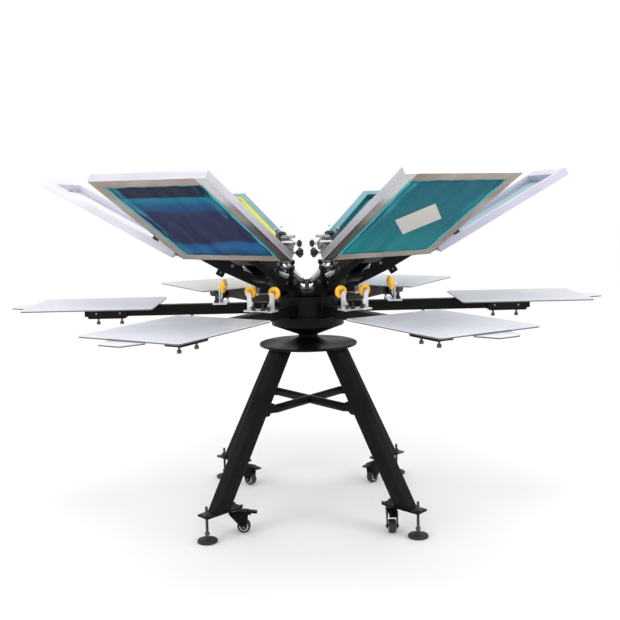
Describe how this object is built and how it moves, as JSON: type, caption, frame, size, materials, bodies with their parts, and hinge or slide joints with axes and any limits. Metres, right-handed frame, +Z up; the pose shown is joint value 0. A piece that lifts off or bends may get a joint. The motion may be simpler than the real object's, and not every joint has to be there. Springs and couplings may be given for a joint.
{
  "type": "screen printing carousel",
  "caption": "Rotary hand screen printing press: platens and hinged print heads turn on one upright spindle over a four-legged stand with levelling feet and casters.",
  "frame": {"origin": "on the floor, on the common vertical axis of both carousels", "axes": "+Z up, +X along the arm of station 1, stations numbered counter-clockwise seen from above, front of the press towards -Y"},
  "size_m": [2.54, 2.2674, 1.4628],
  "materials": {
    "black_paint": "satin black powder coat",
    "platen_board": "pale smooth laminate on a rigid board",
    "gate_steel": "zinc plated, brushed",
    "roller_nylon": "turned yellow nylon",
    "screen_aluminium": "mill finish box section",
    "bright_steel": "bright turned steel",
    "foot_rubber": "matt black",
    "caster_tread": "black tread around a pale hub ring"
  },
  "bodies": {
    "stand": {"pedestal_column": "black_paint", "spindle": "bright_steel", "lower_bearing": "bright_steel", "upper_bearing": "bright_steel", "cross_brace": "black_paint", "leg_front_left": "black_paint", "leg_front_right": "black_paint", "leg_rear_right": "black_paint", "leg_rear_left": "black_paint"},
    "platen_carousel": {"platen_hub": "black_paint", "registration_gate_1": "gate_steel", "registration_gate_2": "gate_steel", "registration_gate_3": "gate_steel", "registration_gate_4": "gate_steel", "registration_gate_5": "gate_steel", "registration_gate_6": "gate_steel"},
    "head_turret": {"head_turret": "black_paint", "spring_post": "bright_steel"},
    "print_head_1": {"head_arm_1": "black_paint", "screen_1": "screen_aluminium"},
    "print_head_2": {"head_arm_2": "black_paint", "screen_2": "screen_aluminium"},
    "print_head_3": {"head_arm_3": "black_paint", "screen_3": "screen_aluminium"},
    "print_head_4": {"head_arm_4": "black_paint", "screen_4": "screen_aluminium"},
    "print_head_5": {"head_arm_5": "black_paint", "screen_5": "screen_aluminium"},
    "print_head_6": {"head_arm_6": "black_paint", "screen_6": "screen_aluminium"},
    "platen_1": {"platen_1": "platen_board"},
    "platen_2": {"platen_2": "platen_board"},
    "platen_3": {"platen_3": "platen_board"},
    "platen_4": {"platen_4": "platen_board"},
    "platen_5": {"platen_5": "platen_board"},
    "platen_6": {"platen_6": "platen_board"},
    "foot_front_left": {"levelling_foot_front_left": "foot_rubber"},
    "foot_front_right": {"levelling_foot_front_right": "foot_rubber"},
    "foot_rear_right": {"levelling_foot_rear_right": "foot_rubber"},
    "foot_rear_left": {"levelling_foot_rear_left": "foot_rubber"},
    "fork_front_left": {"caster_fork_front_left": "black_paint"},
    "fork_front_right": {"caster_fork_front_right": "black_paint"},
    "fork_rear_right": {"caster_fork_rear_right": "black_paint"},
    "fork_rear_left": {"caster_fork_rear_left": "black_paint"},
    "wheel_front_left": {"caster_wheel_front_left": "caster_tread"},
    "wheel_front_right": {"caster_wheel_front_right": "caster_tread"},
    "wheel_rear_right": {"caster_wheel_rear_right": "caster_tread"},
    "wheel_rear_left": {"caster_wheel_rear_left": "caster_tread"},
    "roller_1_right": {"roller_1_right": "roller_nylon"},
    "roller_1_left": {"roller_1_left": "roller_nylon"},
    "roller_2_right": {"roller_2_right": "roller_nylon"},
    "roller_2_left": {"roller_2_left": "roller_nylon"},
    "roller_3_right": {"roller_3_right": "roller_nylon"},
    "roller_3_left": {"roller_3_left": "roller_nylon"},
    "roller_4_right": {"roller_4_right": "roller_nylon"},
    "roller_4_left": {"roller_4_left": "roller_nylon"},
    "roller_5_right": {"roller_5_right": "roller_nylon"},
    "roller_5_left": {"roller_5_left": "roller_nylon"},
    "roller_6_right": {"roller_6_right": "roller_nylon"},
    "roller_6_left": {"roller_6_left": "roller_nylon"}
  },
  "joints": [
    {"name": "head_turret_turn", "type": "hinge", "parent": "stand", "child": "head_turret", "pos_m": [0, 0, 0.961], "axis": [0, 0, 1], "continuous": true},
    {"name": "platen_carousel_turn", "type": "hinge", "parent": "stand", "child": "platen_carousel", "pos_m": [0, 0, 0.871], "axis": [0, 0, 1], "continuous": true},
    {"name": "head_lift_1", "type": "hinge", "parent": "head_turret", "child": "print_head_1", "pos_m": [0.17, 0, 1.016], "axis": [0, 1, 0], "range_deg": [0, 30.3]},
    {"name": "head_lift_2", "type": "hinge", "parent": "head_turret", "child": "print_head_2", "pos_m": [0.085, 0.14722, 1.016], "axis": [-0.866, 0.5, 0], "range_deg": [0, 25.7]},
    {"name": "head_lift_3", "type": "hinge", "parent": "head_turret", "child": "print_head_3", "pos_m": [-0.085, 0.14722, 1.016], "axis": [-0.866, -0.5, 0], "range_deg": [0, 25.7]},
    {"name": "head_lift_4", "type": "hinge", "parent": "head_turret", "child": "print_head_4", "pos_m": [-0.17, 0, 1.016], "axis": [0, -1, 0], "range_deg": [0, 30.3]},
    {"name": "head_lift_5", "type": "hinge", "parent": "head_turret", "child": "print_head_5", "pos_m": [-0.085, -0.14722, 1.016], "axis": [0.866, -0.5, 0], "range_deg": [0, 30.3]},
    {"name": "head_lift_6", "type": "hinge", "parent": "head_turret", "child": "print_head_6", "pos_m": [0.085, -0.14722, 1.016], "axis": [0.866, 0.5, 0], "range_deg": [0, 30.3]},
    {"name": "platen_slide_1", "type": "slide", "parent": "platen_carousel", "child": "platen_1", "axis": [1, 0, 0], "range_m": [-0.06, 0.01]},
    {"name": "platen_slide_2", "type": "slide", "parent": "platen_carousel", "child": "platen_2", "axis": [0.5, 0.866, 0], "range_m": [-0.06, 0.01]},
    {"name": "platen_slide_3", "type": "slide", "parent": "platen_carousel", "child": "platen_3", "axis": [-0.5, 0.866, 0], "range_m": [-0.06, 0.01]},
    {"name": "platen_slide_4", "type": "slide", "parent": "platen_carousel", "child": "platen_4", "axis": [-1, 0, 0], "range_m": [-0.06, 0.01]},
    {"name": "platen_slide_5", "type": "slide", "parent": "platen_carousel", "child": "platen_5", "axis": [-0.5, -0.866, 0], "range_m": [-0.06, 0.01]},
    {"name": "platen_slide_6", "type": "slide", "parent": "platen_carousel", "child": "platen_6", "axis": [0.5, -0.866, 0], "range_m": [-0.06, 0.01]},
    {"name": "foot_screw_front_left", "type": "slide", "parent": "stand", "child": "foot_front_left", "axis": [0, 0, 1], "range_m": [-0.02, 0.05]},
    {"name": "foot_screw_front_right", "type": "slide", "parent": "stand", "child": "foot_front_right", "axis": [0, 0, 1], "range_m": [-0.02, 0.05]},
    {"name": "foot_screw_rear_right", "type": "slide", "parent": "stand", "child": "foot_rear_right", "axis": [0, 0, 1], "range_m": [-0.02, 0.05]},
    {"name": "foot_screw_rear_left", "type": "slide", "parent": "stand", "child": "foot_rear_left", "axis": [0, 0, 1], "range_m": [-0.02, 0.05]},
    {"name": "caster_swivel_front_left", "type": "hinge", "parent": "stand", "child": "fork_front_left", "pos_m": [-0.32527, -0.32527, 0.099], "axis": [0, 0, 1], "continuous": true},
    {"name": "caster_swivel_front_right", "type": "hinge", "parent": "stand", "child": "fork_front_right", "pos_m": [0.32527, -0.32527, 0.099], "axis": [0, 0, 1], "continuous": true},
    {"name": "caster_swivel_rear_right", "type": "hinge", "parent": "stand", "child": "fork_rear_right", "pos_m": [0.32527, 0.32527, 0.099], "axis": [0, 0, 1], "continuous": true},
    {"name": "caster_swivel_rear_left", "type": "hinge", "parent": "stand", "child": "fork_rear_left", "pos_m": [-0.32527, 0.32527, 0.099], "axis": [0, 0, 1], "continuous": true},
    {"name": "caster_roll_front_left", "type": "hinge", "parent": "fork_front_left", "child": "wheel_front_left", "pos_m": [-0.28327, -0.32527, 0.028], "axis": [0, 1, 0], "continuous": true},
    {"name": "caster_roll_front_right", "type": "hinge", "parent": "fork_front_right", "child": "wheel_front_right", "pos_m": [0.32527, -0.36727, 0.028], "axis": [1, 0, 0], "continuous": true},
    {"name": "caster_roll_rear_right", "type": "hinge", "parent": "fork_rear_right", "child": "wheel_rear_right", "pos_m": [0.29557, 0.29557, 0.028], "axis": [0.7071, -0.7071, 0], "continuous": true},
    {"name": "caster_roll_rear_left", "type": "hinge", "parent": "fork_rear_left", "child": "wheel_rear_left", "pos_m": [-0.29086, 0.30118, 0.028], "axis": [0.5736, 0.8192, 0], "continuous": true},
    {"name": "roller_spin_1_right", "type": "hinge", "parent": "platen_carousel", "child": "roller_1_right", "pos_m": [0.3625, -0.056, 0.991], "axis": [1, 0, 0], "continuous": true},
    {"name": "roller_spin_1_left", "type": "hinge", "parent": "platen_carousel", "child": "roller_1_left", "pos_m": [0.3625, 0.056, 0.991], "axis": [1, 0, 0], "continuous": true},
    {"name": "roller_spin_2_right", "type": "hinge", "parent": "platen_carousel", "child": "roller_2_right", "pos_m": [0.22975, 0.28593, 0.991], "axis": [0.5, 0.866, 0], "continuous": true},
    {"name": "roller_spin_2_left", "type": "hinge", "parent": "platen_carousel", "child": "roller_2_left", "pos_m": [0.13275, 0.34193, 0.991], "axis": [0.5, 0.866, 0], "continuous": true},
    {"name": "roller_spin_3_right", "type": "hinge", "parent": "platen_carousel", "child": "roller_3_right", "pos_m": [-0.13275, 0.34193, 0.991], "axis": [-0.5, 0.866, 0], "continuous": true},
    {"name": "roller_spin_3_left", "type": "hinge", "parent": "platen_carousel", "child": "roller_3_left", "pos_m": [-0.22975, 0.28593, 0.991], "axis": [-0.5, 0.866, 0], "continuous": true},
    {"name": "roller_spin_4_right", "type": "hinge", "parent": "platen_carousel", "child": "roller_4_right", "pos_m": [-0.3625, 0.056, 0.991], "axis": [-1, 0, 0], "continuous": true},
    {"name": "roller_spin_4_left", "type": "hinge", "parent": "platen_carousel", "child": "roller_4_left", "pos_m": [-0.3625, -0.056, 0.991], "axis": [-1, 0, 0], "continuous": true},
    {"name": "roller_spin_5_right", "type": "hinge", "parent": "platen_carousel", "child": "roller_5_right", "pos_m": [-0.22975, -0.28593, 0.991], "axis": [-0.5, -0.866, 0], "continuous": true},
    {"name": "roller_spin_5_left", "type": "hinge", "parent": "platen_carousel", "child": "roller_5_left", "pos_m": [-0.13275, -0.34193, 0.991], "axis": [-0.5, -0.866, 0], "continuous": true},
    {"name": "roller_spin_6_right", "type": "hinge", "parent": "platen_carousel", "child": "roller_6_right", "pos_m": [0.13275, -0.34193, 0.991], "axis": [0.5, -0.866, 0], "continuous": true},
    {"name": "roller_spin_6_left", "type": "hinge", "parent": "platen_carousel", "child": "roller_6_left", "pos_m": [0.22975, -0.28593, 0.991], "axis": [0.5, -0.866, 0], "continuous": true}
  ]
}
